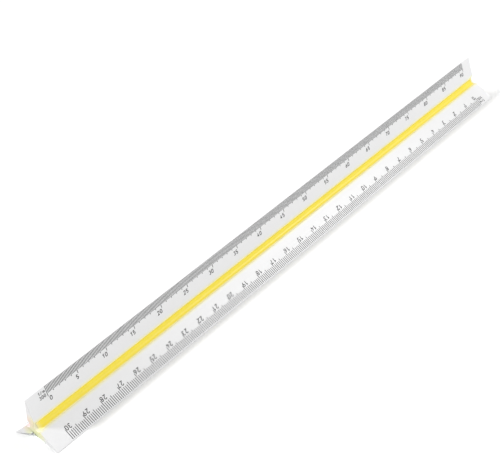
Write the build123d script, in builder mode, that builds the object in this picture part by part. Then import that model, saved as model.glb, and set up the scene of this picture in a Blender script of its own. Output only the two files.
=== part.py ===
from build123d import *
from dataclasses import dataclass
from math import cos, radians, sin, tan
import os

# Triangular scale ruler: an opal plastic bar with a three-armed section, a coloured strip
# seated in the flute of each of its three sides, and a printed scale along both edges of
# each side. Millimetres, +Z up, +X along the bar. It rests on two of its three ridges, and
# the origin is on that resting plane, under the middle of the bar.

# ---- the bar ----
LENGTH = 318.0  # end to end
SIDE = 25.0  # ridge to ridge
LAND_WIDTH = 0.4  # narrow flat on each side of a ridge, in the plane of two ridges
FLAT_DIP = 20.5  # degrees that each printed flat falls from that plane
RIDGE_RADIUS = 0.12
END_CHAMFER = 0.1

# ---- the coloured strips ----
STRIP_RADIUS = 1.8  # of the hollow face
STRIP_THICKNESS = 0.3
STRIP_BOTTOM_DEPTH = 5.4  # lowest line of the hollow face, below the plane of the ridges
STRIP_RIM_DEPTH = 3.9  # the strip's two rims, below the same plane
STRIP_END_GAP = 1.5  # a strip stops this far short of each end of the bar

# ---- the print ----
INK_THICKNESS = 0.03
LINE_WIDTH = 0.27
NUMERAL_STROKE = 0.32
TITLE_STROKE = 0.25
TITLE_HEIGHT = 1.55
TITLE_TOPS = (1.15, 3.1)  # its two lines' upper edges, along the flat from the ridge's tip
TITLE_GAP = 0.9  # from the title to the zero mark
TEXT_GAP = 0.45  # from a numeral to its mark
GLYPH_WIDTH = 0.54  # centre line to centre line, as a share of the height
GLYPH_PITCH = 0.8  # from one digit to the next, as a share of the height

# ---- the three sides ----
# A side is named by the direction in which its outward normal leans, in degrees about the
# bar's long axis, from +Y towards +Z. Along its section a side runs from its START ridge to
# its END ridge, as that angle turns.
REAR_SIDE = 30
FRONT_SIDE = 150
BOTTOM_SIDE = 270
START = -1
END = 1
STRIP_SIDES = {"yellow": FRONT_SIDE, "red": REAR_SIDE, "green": BOTTOM_SIDE}


@dataclass
class Scale:
    """One printed scale. Distances are along its flat, from the tip of its ridge."""

    ratio: int
    side: int
    ridge: int
    metres: int  # at its last mark
    metres_each: int  # from one numbered mark to the next
    margin: float = 9.0  # from the bar's end to the zero mark
    mark_start: float = 0.7
    mark_end: float = 5.65
    numeral_top: float = 4.7
    numeral_height: float = 2.2


SCALES = (
    Scale(
        300,
        FRONT_SIDE,
        START,
        90,
        5,
        margin=10.5,
        mark_start=0.3,
        mark_end=5.2,
        numeral_top=5.4,
        numeral_height=2.0,
    ),
    Scale(100, FRONT_SIDE, END, 30, 1),
    Scale(200, REAR_SIDE, START, 60, 2),
    Scale(400, REAR_SIDE, END, 120, 5),
    Scale(250, BOTTOM_SIDE, START, 75, 5),
    Scale(500, BOTTOM_SIDE, END, 150, 10),
)

# ---- sizes that follow from them ----
AXIS_HEIGHT = SIDE * tan(radians(30)) / 2
TIP_RADIUS = SIDE / 2 / cos(radians(30))
TIP_ZONE = 0.1  # only the ridges' corners lie this near to TIP_RADIUS
VALLEY_DEPTH = (SIDE / 2 - LAND_WIDTH) * tan(radians(FLAT_DIP))
GROOVE_RADIUS = STRIP_RADIUS + STRIP_THICKNESS
GROOVE_CENTRE_DEPTH = STRIP_BOTTOM_DEPTH - STRIP_RADIUS

os.makedirs("parts", exist_ok=True)


def save(part, name):
    part.label = name
    export_step(part, f"parts/{name}.step")


def side_point(side, along, depth):
    """Section point: along from the side's middle, depth below the plane of its ridges."""
    turn = radians(side)
    out = AXIS_HEIGHT - depth
    return (out * cos(turn) - along * sin(turn), out * sin(turn) + along * cos(turn))


def section_plane(x):
    """Plane across the bar at x, centred on the bar's axis: its x along +Y, its y up."""
    return Plane(origin=(x, 0, AXIS_HEIGHT), x_dir=(0, 1, 0), z_dir=(1, 0, 0))


# ---- the bar: a triangle of ridges and valleys, less a round groove along each valley ----
outline = []
for side in (REAR_SIDE, FRONT_SIDE, BOTTOM_SIDE):
    outline.append(side_point(side, -SIDE / 2, 0))
    outline.append(side_point(side, -SIDE / 2 + LAND_WIDTH, 0))
    outline.append(side_point(side, 0, VALLEY_DEPTH))
    outline.append(side_point(side, SIDE / 2 - LAND_WIDTH, 0))

with BuildPart() as ruler_body:
    with BuildSketch(section_plane(-LENGTH / 2)):
        with BuildLine():
            Polyline(*outline, close=True)
        make_face()
        with PolarLocations(AXIS_HEIGHT - GROOVE_CENTRE_DEPTH, 3, start_angle=REAR_SIDE):
            Circle(GROOVE_RADIUS, mode=Mode.SUBTRACT)
        tips = vertices().filter_by(lambda v: Vector(v.X, v.Y).length > TIP_RADIUS - TIP_ZONE)
        fillet(tips, RIDGE_RADIUS)
    extrude(amount=LENGTH)
    chamfer(faces().filter_by(Axis.X).edges(), END_CHAMFER)
save(ruler_body.part, "ruler_body")


# ---- the coloured strips: gutters that line the grooves ----
def strip_part(side):
    window = (
        side_point(side, -GROOVE_RADIUS, STRIP_RIM_DEPTH),
        side_point(side, GROOVE_RADIUS, STRIP_RIM_DEPTH),
        side_point(side, GROOVE_RADIUS, AXIS_HEIGHT),
        side_point(side, -GROOVE_RADIUS, AXIS_HEIGHT),
    )
    with BuildPart() as strip:
        with BuildSketch(section_plane(-LENGTH / 2 + STRIP_END_GAP)):
            with BuildLine():
                Polyline(*window, close=True)
            make_face()
            with Locations(side_point(side, 0, GROOVE_CENTRE_DEPTH)):
                Circle(GROOVE_RADIUS, mode=Mode.INTERSECT)
                Circle(STRIP_RADIUS, mode=Mode.SUBTRACT)
        extrude(amount=LENGTH - 2 * STRIP_END_GAP)
    return strip.part


for colour, side in STRIP_SIDES.items():
    save(strip_part(side), f"flute_strip_{colour}")


# ---- lettering: each character is a pen stroke on centre lines one unit high ----
def bar(*points):
    return Polyline(*points, mode=Mode.PRIVATE)


def bow(x, y, radius, start, turn):
    return CenterArc((x, y), radius, start, turn, mode=Mode.PRIVATE)


WIDE = GLYPH_WIDTH
BEND = WIDE / 2  # radius of a bow as wide as its digit
GLYPHS = {
    "0": (
        bow(BEND, 1 - BEND, BEND, 0, 180),
        bar((0, 1 - BEND), (0, BEND)),
        bow(BEND, BEND, BEND, 180, 180),
        bar((WIDE, BEND), (WIDE, 1 - BEND)),
    ),
    "1": (bar((0.1, 0.76), (0.36, 1), (0.36, 0)),),
    "2": (
        bow(BEND, 1 - BEND, BEND, 170, -195),
        bar((0.51, 0.62), (0, 0), (WIDE, 0)),
    ),
    "3": (bow(BEND, 0.76, 0.24, 150, -235), bow(BEND, 0.26, 0.26, 85, -235)),
    "4": (bar((0.32, 1), (0, 0.28), (WIDE, 0.28)), bar((0.38, 0.52), (0.38, 0))),
    "5": (bar((0.48, 1), (0.06, 1), (0.03, 0.5)), bow(0.25, 0.29, 0.29, 140, -280)),
    "6": (bow(BEND, BEND, BEND, 0, 360), bar((0.4, 1), (0.03, 0.4))),
    "7": (bar((0, 1), (WIDE, 1), (0.16, 0)),),
    "8": (bow(BEND, BEND, BEND, 0, 360), bow(BEND, 0.77, 0.23, -60, 300)),
    "9": (bow(BEND, 1 - BEND, BEND, 0, 360), bar((0.51, 0.6), (0.14, 0))),
    "/": (bar((0, 0), (0.45, 1)),),
    "m": (
        bar((0, 0), (0, 0.6)),
        bow(0.17, 0.45, 0.17, 180, -180),
        bar((0.34, 0.45), (0.34, 0)),
        bow(0.51, 0.45, 0.17, 180, -180),
        bar((0.68, 0.45), (0.68, 0)),
    ),
}


def glyph(character, height, stroke):
    """Flat shape of one character of that height, centre lines starting at x = 0, y = 0."""
    unit = height - stroke
    with BuildSketch() as shape:
        for line in GLYPHS[character]:
            trace(lines=line, line_width=stroke / unit)
        scale(by=unit)
    return shape.sketch


# ---- the printed scales ----
def flat_plane(printed):
    """A scale's flat as its reader sees it: y = 0 along the ridge's tip, at the top, and x to
    the right from the zero mark."""
    turn = radians(printed.side)
    dip = radians(FLAT_DIP)
    out = Vector(0, cos(turn), sin(turn))
    along = Vector(0, -sin(turn), cos(turn)) * printed.ridge
    up = along * cos(dip) + out * sin(dip)
    normal = out * cos(dip) - along * sin(dip)
    right = up.cross(normal)
    y, z = side_point(printed.side, printed.ridge * (SIDE / 2 - LAND_WIDTH), 0)
    land_foot = Vector(0, y, AXIS_HEIGHT + z)
    origin = land_foot + up * LAND_WIDTH - right * (LENGTH / 2 - printed.margin)
    return Plane(origin=origin, x_dir=right, z_dir=normal)


def numbered_metres(printed):
    return range(0, printed.metres + 1, printed.metres_each)


def mark_part(printed):
    """A scale's numbered marks, each a separate thin bar."""
    spots = [(m * 1000 / printed.ratio, -printed.mark_start) for m in numbered_metres(printed)]
    length = printed.mark_end - printed.mark_start
    with BuildPart() as marks:
        with BuildSketch(flat_plane(printed)):
            with Locations(*spots):
                Rectangle(LINE_WIDTH, length, align=(Align.CENTER, Align.MAX))
        extrude(amount=INK_THICKNESS)
    return marks.part


def add_text(lines, stroke):
    """Adds lines of text, given as (text, height, left, top), to the sketch in hand."""
    places = {}
    for text, height, left, top in lines:
        for index, character in enumerate(text):
            x = left + index * GLYPH_PITCH * height + stroke / 2
            places.setdefault((character, height), []).append((x, top - height + stroke / 2))
    for (character, height), spots in places.items():
        shape = glyph(character, height, stroke)
        with Locations(*spots):
            add(shape)


def text_width(text, height):
    return (len(text) - 1) * GLYPH_PITCH * height + GLYPH_WIDTH * height


def numeral_part(printed):
    """A scale's numerals, each left of its mark, the zero right of its own, and its title."""
    height = printed.numeral_height
    numerals = []
    for metres in numbered_metres(printed):
        text = str(metres)
        width = text_width(text, height)
        left = metres * 1000 / printed.ratio - TEXT_GAP - width if metres else TEXT_GAP
        numerals.append((text, height, left, -printed.numeral_top))
    title = []
    for text, top in zip(("1/m", str(printed.ratio)), TITLE_TOPS):
        left = -TITLE_GAP - text_width("000", TITLE_HEIGHT)
        title.append((text, TITLE_HEIGHT, left, -top))
    with BuildPart() as numbers:
        with BuildSketch(flat_plane(printed)):
            add_text(numerals, NUMERAL_STROKE)
            add_text(title, TITLE_STROKE)
        extrude(amount=INK_THICKNESS)
    return numbers.part


for printed in SCALES:
    save(mark_part(printed), f"scale_1_{printed.ratio}_marks")
    save(numeral_part(printed), f"scale_1_{printed.ratio}_numerals")
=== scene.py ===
from dataclasses import dataclass
from math import atan2, ceil, cos, pi, radians, sin, sqrt, tan

import bmesh
import bpy
from mathutils import Matrix, Vector
from mathutils.geometry import delaunay_2d_cdt


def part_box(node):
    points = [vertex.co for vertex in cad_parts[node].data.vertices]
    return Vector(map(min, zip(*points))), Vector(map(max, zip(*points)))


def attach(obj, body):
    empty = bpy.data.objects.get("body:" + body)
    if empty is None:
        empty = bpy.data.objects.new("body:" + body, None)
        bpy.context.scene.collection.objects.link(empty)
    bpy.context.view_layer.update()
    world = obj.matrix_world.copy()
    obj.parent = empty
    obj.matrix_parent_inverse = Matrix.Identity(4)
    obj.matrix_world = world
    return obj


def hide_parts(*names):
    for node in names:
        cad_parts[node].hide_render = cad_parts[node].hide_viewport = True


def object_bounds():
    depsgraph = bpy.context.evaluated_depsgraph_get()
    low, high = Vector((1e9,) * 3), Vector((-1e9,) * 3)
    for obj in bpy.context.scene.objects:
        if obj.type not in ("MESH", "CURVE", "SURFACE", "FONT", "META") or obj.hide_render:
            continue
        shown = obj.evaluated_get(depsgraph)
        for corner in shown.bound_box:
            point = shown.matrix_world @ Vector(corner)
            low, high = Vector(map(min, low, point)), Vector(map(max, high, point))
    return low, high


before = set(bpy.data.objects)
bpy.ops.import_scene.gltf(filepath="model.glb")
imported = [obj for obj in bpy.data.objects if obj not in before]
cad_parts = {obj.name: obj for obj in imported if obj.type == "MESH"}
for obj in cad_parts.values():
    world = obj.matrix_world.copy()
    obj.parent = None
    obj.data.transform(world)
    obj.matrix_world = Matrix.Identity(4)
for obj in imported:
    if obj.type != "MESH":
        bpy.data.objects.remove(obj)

# A triangular scale ruler on a white table. Lengths are in millimetres until a mesh or a
# material takes them, and in metres in the last section, on the table, the light and the camera.
MM = 0.001
METRE = 1000

cad_low, cad_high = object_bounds()
body_low, body_high = (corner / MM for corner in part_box("ruler_body"))

# ---- the bar's section, as in the CAD model ----
SIDE = 25.0  # ridge to ridge
LAND_WIDTH = 0.4  # of the narrow flat beside each ridge's tip
FLAT_DIP = radians(20.5)  # of a printed flat, from the ridges' plane down to the groove
RIDGE_RADIUS = 0.12
LAND_EDGE_RADIUS = 0.3
LIP_RADIUS = 0.07  # where a flat meets the groove
END_CHAMFER = 0.1
STRIP_RADIUS = 1.8  # of the strip's hollow
STRIP_THICKNESS = 0.3
STRIP_BOTTOM_DEPTH = 5.4
STRIP_RIM_DEPTH = 3.9
STRIP_RIM_RADIUS = 0.06
STRIP_CHAMFER = 0.03
STRIP_FIT = 0.01  # the strip's back stands this far off its groove
AXIS_HEIGHT = SIDE * tan(radians(30)) / 2
GROOVE_RADIUS = STRIP_RADIUS + STRIP_THICKNESS
GROOVE_CENTRE_DEPTH = STRIP_BOTTOM_DEPTH - STRIP_RADIUS
THIRD_TURN = radians(120)
ARC_STEP = radians(6)
LEAST_ARC_STEPS = 2
OUTLINE_MITRE_LIMIT = 0.5
SMOOTH_ANGLE = radians(28)  # sharper edges of an extrusion stay sharp

# Each side is named by the direction that its outward normal leans in, about the bar's axis,
# from +Y towards +Z.
REAR_SIDE = radians(30)
FRONT_SIDE = radians(150)
BOTTOM_SIDE = radians(270)
SIDES = (REAR_SIDE, FRONT_SIDE, BOTTOM_SIDE)
STRIP_SIDES = {"yellow": FRONT_SIDE, "red": REAR_SIDE, "green": BOTTOM_SIDE}
START = -1  # the ridge at which a side starts, and the one at which it ends
END = 1

# ---- the print ----
INK_THICKNESS = 0.03
LINE_WIDTH = 0.27
NUMERAL_STROKE = 0.32
TITLE_STROKE = 0.25
TITLE_HEIGHT = 1.55
TITLE_TOPS = (1.15, 3.1)
TITLE_GAP = 0.9  # from the zero mark
TEXT_GAP = 0.45  # from a numbered mark to its numeral
GLYPH_WIDTH = 0.54  # of its height
GLYPH_PITCH = 0.8  # of its height
BOW_STEP = 15  # degrees
LEAST_BOW_STEPS = 4
PEN_MITRE_LIMIT = 0.4
MERGE_GAP = 1e-6  # points of two strokes nearer than this are one
INSIDE_ONLY = 1  # the triangulation keeps to the strokes' insides
GRADES = ("short", "middle", "numbered")  # of marks


@dataclass
class Scale:
    """One printed scale. Distances are along its flat, from the tip of its ridge."""

    ratio: int
    side: float
    ridge: int
    metres: int  # at its last mark
    step: float  # metres from one mark to the next
    middle_every: int  # marks
    numbered_every: int  # marks
    mark_start: float = 0.7
    mark_ends: tuple = (4.15, 4.85, 5.65)  # of each grade
    numeral_top: float = 4.7
    numeral_height: float = 2.2

    @property
    def pitch(self):
        """Distance from one mark to the next."""
        return METRE / self.ratio * self.step

    def grade(self, number):
        """The grade of the mark of that number, counted from the zero mark."""
        if number % self.numbered_every == 0:
            return "numbered"
        if number % self.middle_every == 0:
            return "middle"
        return "short"


SCALES = (
    Scale(300, FRONT_SIDE, START, 90, 0.2, 5, 25, 0.3, (3.85, 4.4, 5.2), 5.4, 2.0),
    Scale(100, FRONT_SIDE, END, 30, 0.1, 5, 10),
    Scale(200, REAR_SIDE, START, 60, 0.2, 5, 10),
    Scale(400, REAR_SIDE, END, 120, 0.5, 2, 10, mark_ends=(3.6, 4.3, 5.65)),
    Scale(250, BOTTOM_SIDE, START, 75, 0.2, 5, 25),
    Scale(500, BOTTOM_SIDE, END, 150, 0.5, 10, 20),
)


# ---- section outlines ----
def side_point(side, along, depth):
    """(y, z) of a section point: along from the side's middle, depth below its ridges' plane."""
    out = AXIS_HEIGHT - depth
    y = out * cos(side) - along * sin(side)
    z = out * sin(side) + along * cos(side) + AXIS_HEIGHT
    return Vector((y, z))


def arc(centre, radius, start, end):
    """Points of an arc from angle start to angle end, both included."""
    steps = max(LEAST_ARC_STEPS, ceil(abs(end - start) / ARC_STEP))
    angles = [start + (end - start) * i / steps for i in range(steps + 1)]
    return [Vector((centre[0] + radius * cos(a), centre[1] + radius * sin(a))) for a in angles]


def rounded(before, corner, after, radius):
    """Arc points that round a corner between two straight edges."""
    to_before = (before - corner).normalized()
    to_after = (after - corner).normalized()
    half = to_before.angle(to_after) / 2
    centre = corner + (to_before + to_after).normalized() * (radius / sin(half))
    first = corner + to_before * (radius / tan(half))
    last = corner + to_after * (radius / tan(half))
    start = atan2(first.y - centre.y, first.x - centre.x)
    turn = atan2(last.y - centre.y, last.x - centre.x) - start
    turn = (turn + pi) % (2 * pi) - pi
    return arc(centre, radius, start, start + turn)


def lip_along():
    """Distance from a side's middle to where its groove meets the flats."""
    slope = tan(FLAT_DIP)
    drop = (SIDE / 2 - LAND_WIDTH) * slope - GROOVE_CENTRE_DEPTH
    a = 1 + slope**2
    b = -2 * slope * drop
    c = drop**2 - GROOVE_RADIUS**2
    return (-b + sqrt(b * b - 4 * a * c)) / (2 * a)


def gutter(side, radius, from_along, from_depth):
    """Arc points across a side's groove, from a point at from_along and its mirror image."""
    start = atan2(from_depth - GROOVE_CENTRE_DEPTH, from_along)
    local = arc((0, GROOVE_CENTRE_DEPTH), radius, pi - start, start)
    return [side_point(side, p.x, p.y) for p in local]


def body_outline():
    lip = lip_along()
    lip_depth = (SIDE / 2 - LAND_WIDTH - lip) * tan(FLAT_DIP)
    points = []
    for side in SIDES:
        before_tip = side_point(side - THIRD_TURN, SIDE / 2 - LAND_WIDTH, 0)
        tip = side_point(side, -SIDE / 2, 0)
        land = side_point(side, -SIDE / 2 + LAND_WIDTH, 0)
        lip_in = side_point(side, -lip, lip_depth)
        lip_out = side_point(side, lip, lip_depth)
        land_out = side_point(side, SIDE / 2 - LAND_WIDTH, 0)
        tip_out = side_point(side, SIDE / 2, 0)
        groove = gutter(side, GROOVE_RADIUS, lip, lip_depth)
        points += rounded(before_tip, tip, land, RIDGE_RADIUS)
        points += rounded(tip, land, lip_in, LAND_EDGE_RADIUS)
        points += rounded(land, lip_in, groove[1], LIP_RADIUS)
        points += groove[1:-1]
        points += rounded(groove[-2], lip_out, land_out, LIP_RADIUS)
        points += rounded(lip_out, land_out, tip_out, LAND_EDGE_RADIUS)
    return points


def strip_outline(side):
    rise = STRIP_RIM_DEPTH - GROOVE_CENTRE_DEPTH
    back_radius = GROOVE_RADIUS - STRIP_FIT
    back_along = sqrt(back_radius**2 - rise**2)
    hollow_along = sqrt(STRIP_RADIUS**2 - rise**2)
    back = gutter(side, back_radius, back_along, STRIP_RIM_DEPTH)
    hollow = gutter(side, STRIP_RADIUS, hollow_along, STRIP_RIM_DEPTH)
    hollow.reverse()
    points = back[1:-1]
    points += rounded(back[-2], back[-1], hollow[0], STRIP_RIM_RADIUS)
    points += rounded(back[-1], hollow[0], hollow[1], STRIP_RIM_RADIUS)
    points += hollow[1:-1]
    points += rounded(hollow[-2], hollow[-1], back[0], STRIP_RIM_RADIUS)
    points += rounded(hollow[-1], back[0], back[1], STRIP_RIM_RADIUS)
    return points


def mitre(into, out, limit):
    """How a corner moves when its edges, running in the directions into and out, both move
    left: the direction it goes in, and the edges' share of its way, which is at least limit."""
    tangent = (into + out).normalized()
    normal = Vector((-tangent.y, tangent.x))
    return normal, max(limit, normal.dot(Vector((-into.y, into.x))))


def inset(points, distance):
    """The closed outline moved inwards by distance."""
    area = sum(a.cross(b) for a, b in zip(points, points[1:] + points[:1]))
    if area < 0:
        distance = -distance
    moved = []
    for i, p in enumerate(points):
        into = (p - points[i - 1]).normalized()
        out = (points[(i + 1) % len(points)] - p).normalized()
        normal, share = mitre(into, out, OUTLINE_MITRE_LIMIT)
        moved.append(p + normal * distance / share)
    return moved


# ---- meshes ----
def add_piece(name, vertices, faces, smooth=False):
    """A new mesh piece from points in millimetres."""
    mesh = bpy.data.meshes.new(name)
    mesh.from_pydata([Vector(v) * MM for v in vertices], [], faces)
    work = bmesh.new()
    work.from_mesh(mesh)
    bmesh.ops.recalc_face_normals(work, faces=work.faces)
    wide = [f for f in work.faces if len(f.verts) > 4]
    bmesh.ops.triangulate(work, faces=wide)
    work.to_mesh(mesh)
    work.free()
    if smooth:
        mesh.shade_smooth()
        mesh.set_sharp_from_angle(angle=SMOOTH_ANGLE)
    mesh.validate()
    piece = bpy.data.objects.new(name, mesh)
    bpy.context.scene.collection.objects.link(piece)
    return piece


def extrusion(name, outline, low, high, chamfer):
    """A bar of that section from x = low to x = high, its two ends chamfered."""
    tight = inset(outline, chamfer)
    stations = [(low, tight), (low + chamfer, outline), (high - chamfer, outline), (high, tight)]
    count = len(outline)
    vertices = [(x, p.x, p.y) for x, section in stations for p in section]
    faces = []
    for first in range(0, len(vertices) - count, count):
        for i in range(count):
            a = first + i
            b = first + (i + 1) % count
            faces.append((a, b, b + count, a + count))
    faces.append(tuple(range(count)))
    faces.append(tuple(range(len(vertices) - count, len(vertices))))
    return add_piece(name, vertices, faces, smooth=True)


def slab(flat_vertices, flat_faces):
    """Vertices and faces of a plate of ink thickness over a flat triangulated shape."""
    count = len(flat_vertices)
    vertices = [(x, y, 0) for x, y in flat_vertices]
    vertices += [(x, y, INK_THICKNESS) for x, y in flat_vertices]
    faces = []
    for face in flat_faces:
        faces.append(tuple(i + count for i in face))
        faces.append(tuple(reversed(face)))
    edges = [edge for face in flat_faces for edge in zip(face, (*face[1:], face[0]))]
    known = set(edges)
    for a, b in edges:
        if (b, a) not in known:
            faces.append((a, b, b + count, a + count))
    return vertices, faces


# ---- lettering: each character is a few pen strokes' centre lines, one unit high ----
def bar(*points):
    return [Vector(p) for p in points]


def bow(x, y, radius, start, turn):
    """Part of a circle about (x, y), its angles in degrees."""
    steps = max(LEAST_BOW_STEPS, round(abs(turn) / BOW_STEP))
    angles = [radians(start + turn * i / steps) for i in range(steps + 1)]
    return [Vector((x + radius * cos(a), y + radius * sin(a))) for a in angles]


WIDE = GLYPH_WIDTH
BEND = WIDE / 2  # radius of a bow as wide as its digit
GLYPHS = {
    "0": (
        bow(BEND, 1 - BEND, BEND, 0, 180)
        + bow(BEND, BEND, BEND, 180, 180)
        + bar((WIDE, 1 - BEND)),
    ),
    "1": (bar((0.1, 0.76), (0.36, 1), (0.36, 0)),),
    "2": (bow(BEND, 1 - BEND, BEND, 170, -195) + bar((0, 0), (WIDE, 0)),),
    "3": (bow(BEND, 0.76, 0.24, 150, -235), bow(BEND, 0.26, 0.26, 85, -235)),
    "4": (bar((0.32, 1), (0, 0.28), (WIDE, 0.28)), bar((0.38, 0.52), (0.38, 0))),
    "5": (bar((0.48, 1), (0.06, 1), (0.03, 0.5)), bow(0.25, 0.29, 0.29, 140, -280)),
    "6": (bow(BEND, BEND, BEND, 0, 360), bar((0.4, 1), (0.03, 0.4))),
    "7": (bar((0, 1), (WIDE, 1), (0.16, 0)),),
    "8": (bow(BEND, BEND, BEND, 0, 360), bow(BEND, 0.77, 0.23, -60, 300)),
    "9": (bow(BEND, 1 - BEND, BEND, 0, 360), bar((0.51, 0.6), (0.14, 0))),
    "/": (bar((0, 0), (0.45, 1)),),
    "m": (
        bar((0, 0), (0, 0.6)),
        bow(0.17, 0.45, 0.17, 180, -180) + bar((0.34, 0)),
        bow(0.51, 0.45, 0.17, 180, -180) + bar((0.68, 0)),
    ),
}


def ribbon(line, half_width):
    """The two edges of a pen stroke, mitred at its corners."""
    left = []
    right = []
    for i, p in enumerate(line):
        into = (p - line[i - 1]).normalized() if i else (line[1] - p).normalized()
        out = (line[i + 1] - p).normalized() if i + 1 < len(line) else into
        normal, share = mitre(into, out, PEN_MITRE_LIMIT)
        reach = normal * (half_width / share)
        left.append(p + reach)
        right.append(p - reach)
    return left, right


def glyph(character, height, stroke):
    """Flat triangulated shape of one character of that height, its strokes merged."""
    unit = height - stroke
    vertices = []
    faces = []
    for line in GLYPHS[character]:
        left, right = ribbon(line, stroke / unit / 2)
        first = len(vertices)
        count = len(line)
        vertices += left + right
        for a in range(first, first + count - 1):
            faces.append((a, a + count, a + count + 1, a + 1))
    found = delaunay_2d_cdt(vertices, [], faces, INSIDE_ONLY, MERGE_GAP)
    points, _, triangles, _, _, strokes = found
    inked = [tuple(t) for t, over in zip(triangles, strokes) if over]
    return [(p.x * unit, p.y * unit) for p in points], inked


# ---- the printed scales ----
def flat_matrix(printed):
    """Places a scale's drawing on its flat: x = 0 on the zero mark, x to the right for its
    reader, y = 0 on the ridge's tip and y up towards it."""
    out = Vector((0, cos(printed.side), sin(printed.side)))
    along = Vector((0, -sin(printed.side), cos(printed.side))) * printed.ridge
    up = along * cos(FLAT_DIP) + out * sin(FLAT_DIP)
    normal = out * cos(FLAT_DIP) - along * sin(FLAT_DIP)
    right = up.cross(normal)
    land = side_point(printed.side, printed.ridge * (SIDE / 2 - LAND_WIDTH), 0)
    low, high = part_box(f"scale_1_{printed.ratio}_marks")
    zero = low.x / MM + LINE_WIDTH / 2 if right.x > 0 else high.x / MM - LINE_WIDTH / 2
    origin = Vector((zero, land.x, land.y)) + up * LAND_WIDTH
    return Matrix((
        (right.x, up.x, normal.x, origin.x),
        (right.y, up.y, normal.y, origin.y),
        (right.z, up.z, normal.z, origin.z),
        (0, 0, 0, 1),
    ))


def printed_piece(name, plates, placing):
    """One piece from many ink plates, each (flat vertices, flat faces)."""
    vertices = []
    faces = []
    for flat_vertices, flat_faces in plates:
        more_vertices, more_faces = slab(flat_vertices, flat_faces)
        first = len(vertices)
        vertices += [placing @ Vector(v) for v in more_vertices]
        faces += [tuple(i + first for i in face) for face in more_faces]
    return add_piece(name, vertices, faces)


def mark_plates(printed, grade):
    """The scale's marks of one grade."""
    plates = []
    top = -printed.mark_start
    foot = -printed.mark_ends[GRADES.index(grade)]
    for number in range(round(printed.metres / printed.step) + 1):
        if printed.grade(number) == grade:
            left = number * printed.pitch - LINE_WIDTH / 2
            right = left + LINE_WIDTH
            corners = [(left, foot), (right, foot), (right, top), (left, top)]
            plates.append((corners, [(0, 1, 2, 3)]))
    return plates


def text_width(text, height):
    return (len(text) - 1) * GLYPH_PITCH * height + GLYPH_WIDTH * height


def text_plates(text, height, stroke, left, top):
    plates = []
    for index, character in enumerate(text):
        vertices, faces = glyph(character, height, stroke)
        x = left + index * GLYPH_PITCH * height + stroke / 2
        y = top - height + stroke / 2
        plates.append(([(u + x, v + y) for u, v in vertices], faces))
    return plates


def numeral_plates(printed):
    """The numeral of each numbered mark, and the scale's title left of the zero mark."""
    plates = []
    height = printed.numeral_height
    interval = round(printed.numbered_every * printed.step)
    for metres in range(0, printed.metres + 1, interval):
        text = str(metres)
        left = TEXT_GAP
        if metres:
            left = metres * METRE / printed.ratio - TEXT_GAP - text_width(text, height)
        plates += text_plates(text, height, NUMERAL_STROKE, left, -printed.numeral_top)
    left = -TITLE_GAP - text_width("000", TITLE_HEIGHT)
    for text, top in zip(("1/m", str(printed.ratio)), TITLE_TOPS):
        plates += text_plates(text, TITLE_HEIGHT, TITLE_STROKE, left, -top)
    return plates


# ---- materials ----
@dataclass
class Finish:
    """A plastic's gloss, and how far light goes into it."""

    grain_scale: float  # of the noise that its extrusion lines follow
    grain_detail: float
    roughness: tuple  # from the smoothest line to the dullest
    grain_depth: float
    light_depth: float


OPAL_FINISH = Finish(900, 3, (0.26, 0.4), 0.01, 1.5)
STRIP_FINISH = Finish(700, 2, (0.28, 0.42), 0.008, 0.6)
GRAIN_STRETCH = (0.02, 1, 1)  # draws the noise out along the bar
GRAIN_STRENGTH = 0.4
PLASTIC_IOR = 1.49
MILKINESS = 0.1  # how much of the light goes in

OPAL = (0.835, 0.835, 0.84, 1)
# Painted shade: the end faces' colour is darkened because the lamps light them too brightly.
END_FACE_PAINTED_SHADE = (0.71, 0.71, 0.71, 1)  # darkens the bar's end faces
# Painted light: the strips' colours, as light carried through the milky bar, are painted into it
# and fade away from their grooves:
# far and strongly on its end faces, where its inside is seen, and little along it. Each pair is
# (along it, on its ends).
PAINTED_GLOW_REACH = (1.2, 5.0)
PAINTED_GLOW_STRENGTH = (0.4, 0.75)
PAINTED_GLOW_COLOURS = {
    "yellow": (0.97, 0.90, 0.34, 1),
    "red": (0.90, 0.68, 0.62, 1),
    "green": (0.78, 0.84, 0.44, 1),
}

# A strip is pale at its rims and deep in its hollow, and its left end is paler again with painted
# light that washes it out.
STRIP_DEEP_DEPTH = 5.0  # its colour is full from here down
PAINTED_LIGHT_END_LENGTH = 4.0  # the length of its paler end
RIM_COLOURS = {
    "yellow": (1.0, 0.94, 0.56, 1),
    "red": (0.80, 0.27, 0.25, 1),
    "green": (0.33, 0.64, 0.37, 1),
}
STRIP_COLOURS = {
    "yellow": (1.0, 0.83, 0.08, 1),
    "red": (0.66, 0.05, 0.055, 1),
    "green": (0.09, 0.46, 0.15, 1),
}
# Painted light: the washed-out colours of the strips' left ends.
LEFT_END_PAINTED_LIGHT_COLOURS = {
    "yellow": (0.95, 0.90, 0.60, 1),
    "red": (0.90, 0.80, 0.79, 1),
    "green": (0.80, 0.86, 0.78, 1),
}

INK_COLOURS = ((0.008, 0.008, 0.009, 1), (0.025, 0.025, 0.026, 1))
INK_ROUGHNESS = (0.4, 0.6)
INK_GRAIN_SCALE = 2500
INK_GRAIN_DETAIL = 2

TABLE_WHITE = (0.87, 0.87, 0.87, 1)
TABLE_ROUGHNESS = 0.9
TABLE_SPECULAR = 0.1


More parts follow.
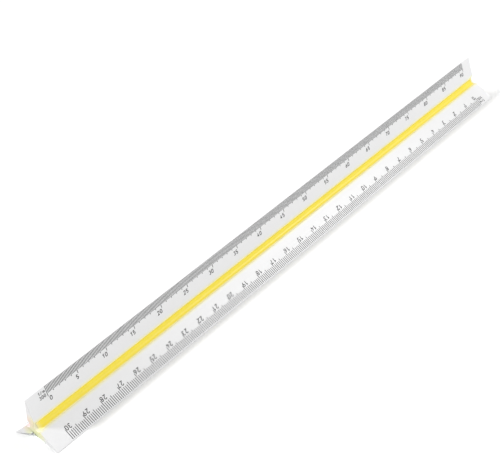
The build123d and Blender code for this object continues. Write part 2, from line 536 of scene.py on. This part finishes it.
class Surface:
    """A material in the making. A value that its methods take is a constant or a node's output."""

    def __init__(self, name):
        self.material = bpy.data.materials.new(name)
        self.material.use_nodes = True
        self.tree = self.material.node_tree
        self.shader = self.tree.nodes["Principled BSDF"].inputs

    def add(self, kind, **settings):
        node = self.tree.nodes.new(f"ShaderNode{kind}")
        for setting, value in settings.items():
            setattr(node, setting, value)
        return node

    def feed(self, socket, value):
        if isinstance(value, bpy.types.NodeSocket):
            self.tree.links.new(value, socket)
        else:
            socket.default_value = value

    def place(self):
        """The point's place in the shared frame, in metres."""
        return self.add("TexCoord").outputs["Object"]

    def x_part(self, vector):
        node = self.add("SeparateXYZ")
        self.feed(node.inputs[0], vector)
        return node.outputs["X"]

    def combine(self, operation, first, second):
        """Subtracts or multiplies two vectors."""
        node = self.add("VectorMath", operation=operation)
        self.feed(node.inputs[0], first)
        self.feed(node.inputs[1], second)
        return node.outputs["Vector"]

    def length(self, vector):
        node = self.add("VectorMath", operation="LENGTH")
        self.feed(node.inputs[0], vector)
        return node.outputs["Value"]

    def along(self, vector, direction):
        node = self.add("VectorMath", operation="DOT_PRODUCT")
        self.feed(node.inputs[0], vector)
        self.feed(node.inputs[1], direction)
        return node.outputs["Value"]

    def spread(self, value, to_range, from_range=(0.0, 1.0), shape="LINEAR"):
        """The value carried from one range to another, and held at its ends."""
        node = self.add("MapRange", interpolation_type=shape)
        ends = zip(("From Min", "From Max", "To Min", "To Max"), (*from_range, *to_range))
        for name, end in ends:
            self.feed(node.inputs[name], end)
        self.feed(node.inputs["Value"], value)
        return node.outputs["Result"]

    def mix(self, factor, first, second, blend="MIX"):
        """A colour: the first at factor 0, and at factor 1 the second, or both multiplied."""
        node = self.add("Mix", data_type="RGBA", blend_type=blend)
        self.feed(node.inputs["Factor"], factor)
        self.feed(node.inputs["A"], first)
        self.feed(node.inputs["B"], second)
        return node.outputs["Result"]

    def noise(self, scale, detail, stretch=(1, 1, 1)):
        squeeze = self.add("Mapping")
        self.feed(squeeze.inputs["Scale"], stretch)
        self.feed(squeeze.inputs["Vector"], self.place())
        node = self.add("TexNoise")
        self.feed(node.inputs["Scale"], scale)
        self.feed(node.inputs["Detail"], detail)
        self.feed(node.inputs["Vector"], squeeze.outputs["Vector"])
        return node.outputs["Fac"]

    def bump(self, height, distance):
        node = self.add("Bump")
        self.feed(node.inputs["Strength"], GRAIN_STRENGTH)
        self.feed(node.inputs["Distance"], distance)
        self.feed(node.inputs["Height"], height)
        self.feed(self.shader["Normal"], node.outputs["Normal"])


def extruded(surface, finish):
    """Gives a plastic its extrusion lines and its milky depth."""
    lines = surface.noise(finish.grain_scale, finish.grain_detail, GRAIN_STRETCH)
    surface.feed(surface.shader["Roughness"], surface.spread(lines, finish.roughness))
    surface.bump(lines, finish.grain_depth * MM)
    surface.feed(surface.shader["IOR"], PLASTIC_IOR)
    surface.feed(surface.shader["Subsurface Weight"], MILKINESS)
    surface.feed(surface.shader["Subsurface Radius"], (1, 1, 1))
    surface.feed(surface.shader["Subsurface Scale"], finish.light_depth * MM)


def end_facing(surface):
    """0 along the bar, 1 on its end faces."""
    normal = surface.add("NewGeometry").outputs["True Normal"]
    size = surface.add("Math", operation="ABSOLUTE")
    surface.feed(size.inputs[0], surface.x_part(normal))
    return size.outputs[0]


def groove_glow(surface, side, facing):
    """How much painted coloured light from one side's strip shows at a point of the bar."""
    centre = side_point(side, 0, GROOVE_CENTRE_DEPTH) * MM
    offset = surface.combine("SUBTRACT", surface.place(), (0, centre.x, centre.y))
    distance = surface.length(surface.combine("MULTIPLY", offset, (0, 1, 1)))
    ends = [(GROOVE_RADIUS + reach) * MM for reach in PAINTED_GLOW_REACH]
    strength = surface.spread(facing, PAINTED_GLOW_STRENGTH)
    fade = (GROOVE_RADIUS * MM, surface.spread(facing, ends))
    return surface.spread(distance, (strength, 0.0), fade, "SMOOTHSTEP")


def opal_plastic():
    surface = Surface("opal_plastic")
    facing = end_facing(surface)
    colour = OPAL
    # Painted light: each strip's colour glowing in the bar around its groove.
    for name, side in STRIP_SIDES.items():
        colour = surface.mix(groove_glow(surface, side, facing), colour, PAINTED_GLOW_COLOURS[name])
    # Painted shade on the bar's end faces.
    colour = surface.mix(facing, colour, END_FACE_PAINTED_SHADE, "MULTIPLY")
    surface.feed(surface.shader["Base Color"], colour)
    extruded(surface, OPAL_FINISH)
    return surface.material


def hollow_depth(surface, side):
    """0 at a strip's rims, 1 in its hollow."""
    offset = surface.combine("SUBTRACT", surface.place(), (0, 0, AXIS_HEIGHT * MM))
    out = surface.along(offset, (0, cos(side), sin(side)))
    fade = [(AXIS_HEIGHT - depth) * MM for depth in (STRIP_RIM_DEPTH, STRIP_DEEP_DEPTH)]
    return surface.spread(out, (0.0, 1.0), fade, "SMOOTHSTEP")


def left_end_nearness(surface):
    """Where a strip's painted washed-out light lies: 0 along the bar, rising to 1 at its left end.
    """
    fade = ((body_low.x + PAINTED_LIGHT_END_LENGTH) * MM, body_low.x * MM)
    return surface.spread(surface.x_part(surface.place()), (0.0, 1.0), fade, "SMOOTHSTEP")


def strip_plastic(name):
    surface = Surface(f"{name}_strip")
    depth = hollow_depth(surface, STRIP_SIDES[name])
    colour = surface.mix(depth, RIM_COLOURS[name], STRIP_COLOURS[name])
    # Painted light washes out the strip's left end.
    colour = surface.mix(left_end_nearness(surface), colour, LEFT_END_PAINTED_LIGHT_COLOURS[name])
    surface.feed(surface.shader["Base Color"], colour)
    extruded(surface, STRIP_FINISH)
    return surface.material


def scale_ink():
    surface = Surface("scale_ink")
    grain = surface.noise(INK_GRAIN_SCALE, INK_GRAIN_DETAIL)
    surface.feed(surface.shader["Base Color"], surface.mix(grain, *INK_COLOURS))
    surface.feed(surface.shader["Roughness"], surface.spread(grain, INK_ROUGHNESS))
    return surface.material


def table_paint():
    surface = Surface("table_white")
    surface.feed(surface.shader["Base Color"], TABLE_WHITE)
    surface.feed(surface.shader["Roughness"], TABLE_ROUGHNESS)
    surface.feed(surface.shader["Specular IOR Level"], TABLE_SPECULAR)
    return surface.material


# ---- the pieces ----
def finish_piece(piece, material, node):
    """Dresses a piece. It stands for a CAD node, or for none if node is None."""
    piece.data.materials.append(material)
    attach(piece, "root")
    if node:
        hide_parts(node)


def make_body():
    piece = extrusion("opal_bar", body_outline(), body_low.x, body_high.x, END_CHAMFER)
    finish_piece(piece, opal_plastic(), "ruler_body")


def make_strips():
    for name, side in STRIP_SIDES.items():
        node = f"flute_strip_{name}"
        low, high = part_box(node)
        outline = strip_outline(side)
        piece = extrusion(f"{name}_gutter", outline, low.x / MM, high.x / MM, STRIP_CHAMFER)
        finish_piece(piece, strip_plastic(name), node)


def make_print():
    ink = scale_ink()
    for printed in SCALES:
        placing = flat_matrix(printed)
        label = f"scale_1_{printed.ratio}"
        for grade in GRADES:
            plates = mark_plates(printed, grade)
            piece = printed_piece(f"{label}_{grade}_lines", plates, placing)
            node = f"{label}_marks" if grade == "numbered" else None
            finish_piece(piece, ink, node)
        piece = printed_piece(f"{label}_lettering", numeral_plates(printed), placing)
        finish_piece(piece, ink, f"{label}_numerals")


# ---- table, light and camera, in metres and watts ----
CENTRE = (cad_low + cad_high) / 2
TABLE_HALF = 6.0
SKY = (1, 1, 1, 1)
SKY_STRENGTH = 0.68
SOFTBOXES = {  # offset from the bar's middle, size and power
    "behind_left": ((-1.9, 1.25, 1.82), (0.32, 0.25), 57),
    "front_right": ((0.74, -0.5, 0.8), (0.3, 0.36), 4.0),
}
HOLLOW_LIGHT_HEIGHT = 0.0035
HOLLOW_LIGHT_WIDTH = 0.003
HOLLOW_LIGHT_INSET = 0.001  # from each end of the bar
HOLLOW_LIGHT_POWER = 0.006
END_LIGHT_OFFSET = Vector((0.013, 0, 0.061))  # from the foot of the right end
END_LIGHT_SIZE = (0.02, 0.02)
END_LIGHT_POWER = 0.002
END_LIGHT_SPREAD = radians(50)
END_LIGHT_TILT = radians(-10)


def make_table():
    half = TABLE_HALF
    mesh = bpy.data.meshes.new("table")
    corners = [(-half, -half, 0), (half, -half, 0), (half, half, 0), (-half, half, 0)]
    mesh.from_pydata(corners, [], [(0, 1, 2, 3)])
    mesh.materials.append(table_paint())
    table = bpy.data.objects.new("table", mesh)
    bpy.context.scene.collection.objects.link(table)


def area_light(name, place, size, power):
    """A rectangular light that shines straight down from its place."""
    light = bpy.data.lights.new(name, "AREA")
    light.shape = "RECTANGLE"
    light.size, light.size_y = size
    light.energy = power
    lamp = bpy.data.objects.new(name, light)
    lamp.location = place
    lamp.visible_camera = False
    bpy.context.scene.collection.objects.link(lamp)
    return lamp


def make_sky():
    world = bpy.data.worlds.new("studio")
    world.use_nodes = True
    background = world.node_tree.nodes["Background"].inputs
    background["Color"].default_value = SKY
    background["Strength"].default_value = SKY_STRENGTH
    bpy.context.scene.world = world


def make_softboxes():
    """Each one faces the bar's middle."""
    for name, (offset, size, power) in SOFTBOXES.items():
        offset = Vector(offset)
        lamp = area_light(name, CENTRE + offset, size, power)
        lamp.rotation_euler = (-offset).to_track_quat("-Z", "Y").to_euler()


def make_hollow_light():
    """Stands for the light that the plastic lets through into the hollow under the bar."""
    length = (body_high.x - body_low.x) * MM - 2 * HOLLOW_LIGHT_INSET
    place = (CENTRE.x, CENTRE.y, HOLLOW_LIGHT_HEIGHT)
    area_light("through_plastic", place, (length, HOLLOW_LIGHT_WIDTH), HOLLOW_LIGHT_POWER)


def make_end_light():
    """A small spot that keeps the bar's shadow off the table past its right end."""
    place = Vector((body_high.x * MM, 0, 0)) + END_LIGHT_OFFSET
    lamp = area_light("past_far_end", place, END_LIGHT_SIZE, END_LIGHT_POWER)
    lamp.data.spread = END_LIGHT_SPREAD
    lamp.rotation_euler.y = END_LIGHT_TILT


# Camera: from the front left, turned about its own axis, aimed beside the bar's middle.
AZIMUTH = radians(-45.36)
ELEVATION = radians(32.24)
ROLL = radians(-9.456)
DISTANCE = 0.6633
AIM_OFFSET = Vector((-0.0093, 0.0116, 0.0097))  # from the table under the bar's middle
LENS = 104.3
SENSOR = 36.0


def make_camera():
    data = bpy.data.cameras.new("camera")
    data.lens = LENS
    data.sensor_width = SENSOR
    camera = bpy.data.objects.new("camera", data)
    bpy.context.scene.collection.objects.link(camera)
    flat = cos(ELEVATION)
    back = Vector((sin(AZIMUTH) * flat, -cos(AZIMUTH) * flat, sin(ELEVATION)))
    camera.location = Vector((CENTRE.x, CENTRE.y, 0)) + AIM_OFFSET + back * DISTANCE
    level = (-back).to_track_quat("-Z", "Y").to_matrix()
    turned = level @ Matrix.Rotation(ROLL, 3, "Z")
    camera.rotation_euler = turned.to_euler()
    bpy.context.scene.camera = camera


make_body()
make_strips()
make_print()
make_table()
make_sky()
make_softboxes()
make_hollow_light()
make_end_light()
make_camera()
bpy.context.scene.view_settings.view_transform = "Standard"
